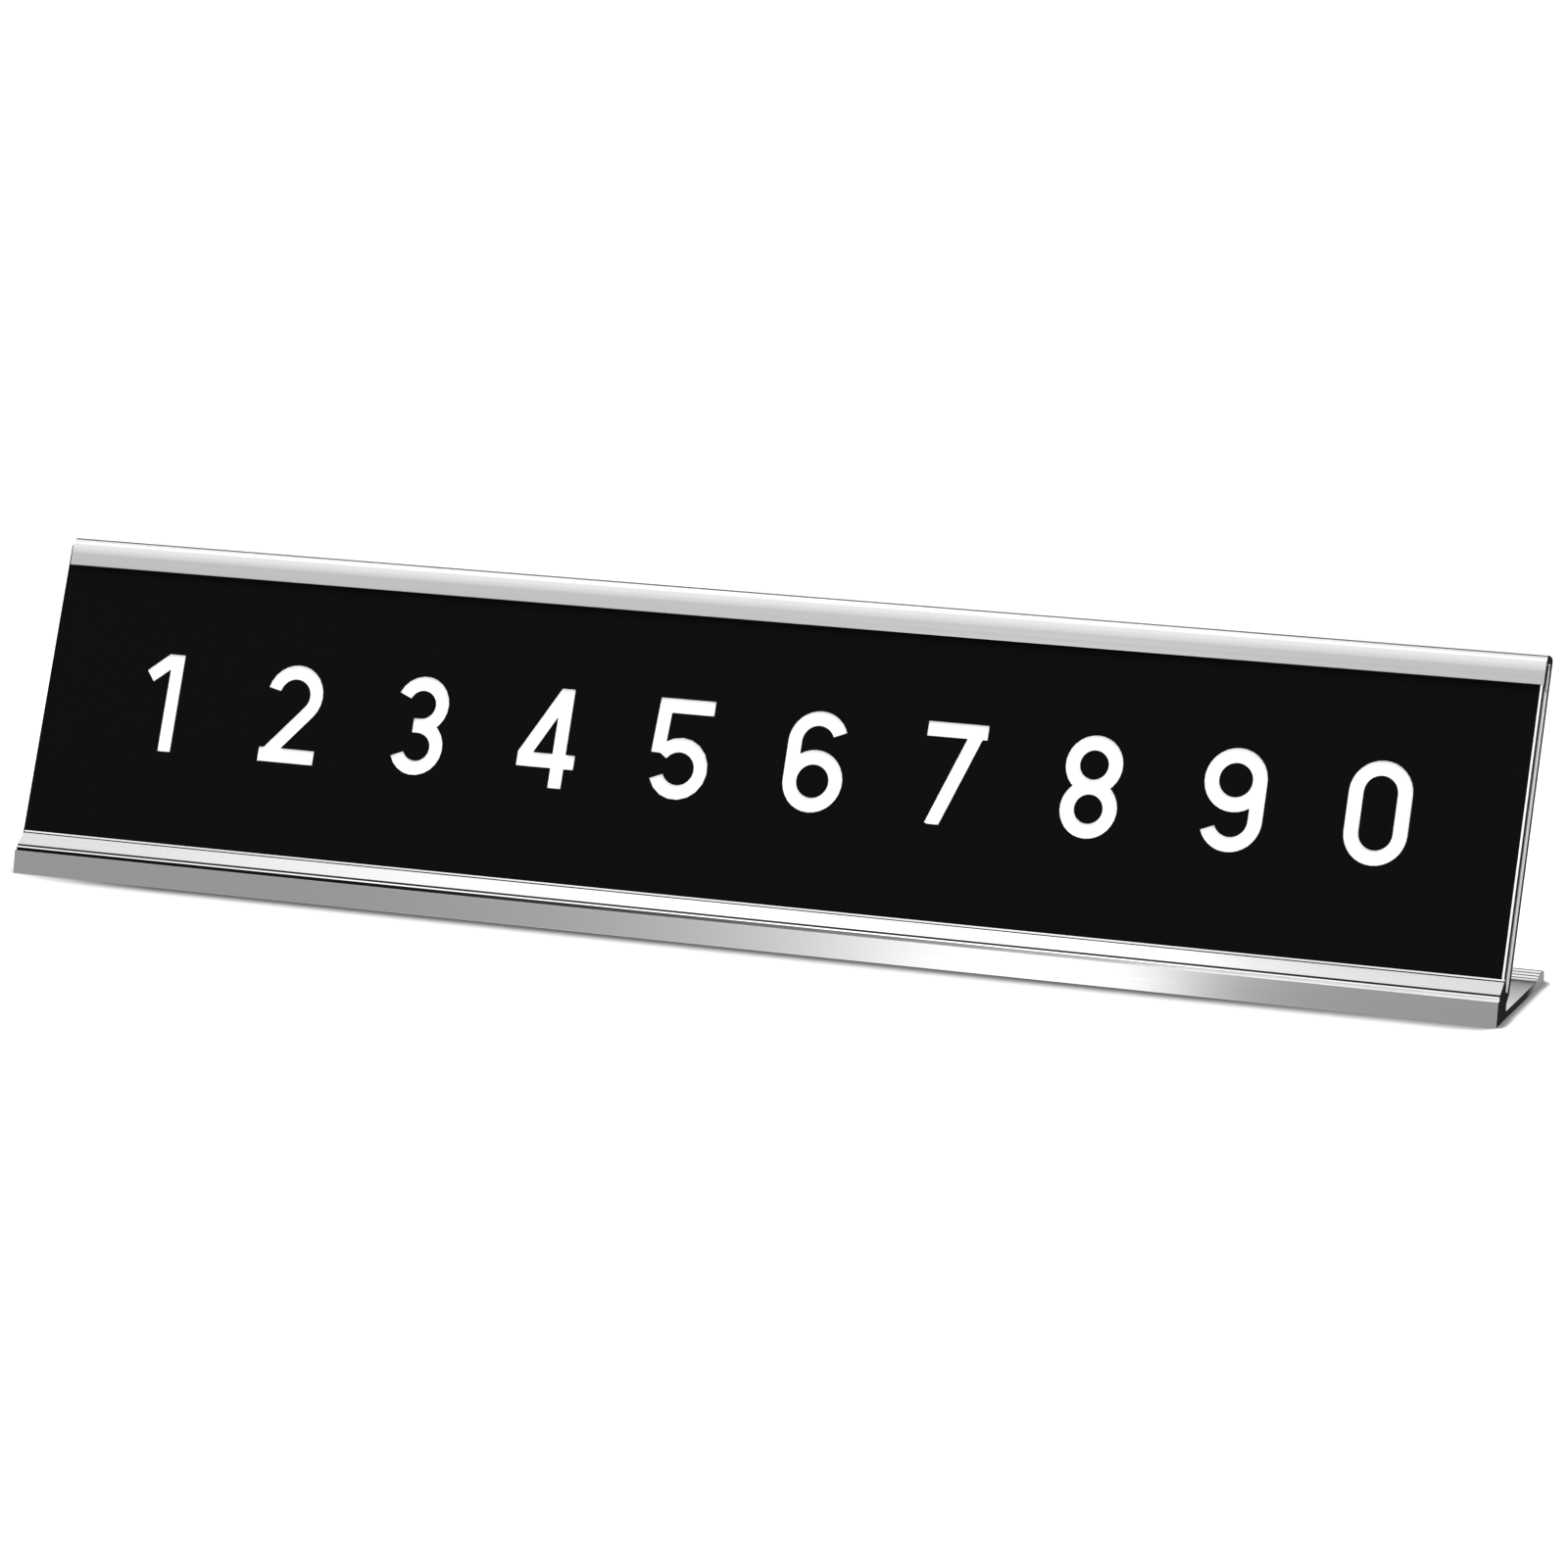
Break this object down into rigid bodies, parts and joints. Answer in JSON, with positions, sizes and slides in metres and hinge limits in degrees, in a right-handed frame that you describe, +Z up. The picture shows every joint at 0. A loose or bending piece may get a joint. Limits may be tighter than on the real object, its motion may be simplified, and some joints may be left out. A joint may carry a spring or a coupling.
{
  "type": "desk sign",
  "caption": "Desk name plate sign: a long engraved plate that slides in the channel of a leaning aluminium holder with a flat base.",
  "frame": {"origin": "middle of the base's footprint, on the surface the sign stands on", "axes": "+X along the sign's length to the reader's right, +Y from the front to the back, +Z up; the plate reads from -Y"},
  "size_m": [0.2548, 0.0286, 0.0524],
  "materials": {
    "polished_aluminium": "bright anodised, with fine lengthwise extrusion lines",
    "white_core": "satin white engraving plastic",
    "black_face": "even matte black engraving plastic"
  },
  "bodies": {
    "holder": {"holder": "polished_aluminium"},
    "nameplate": {"nameplate_core": "white_core", "nameplate_face": "black_face", "face_island_4": "black_face", "face_island_6": "black_face", "face_island_8_upper": "black_face", "face_island_8_lower": "black_face", "face_island_9": "black_face", "face_island_0": "black_face"}
  },
  "joints": [
    {"name": "nameplate_slide", "type": "slide", "parent": "holder", "child": "nameplate", "axis": [1, 0, 0], "range_m": [-0.228, 0.228]}
  ]
}
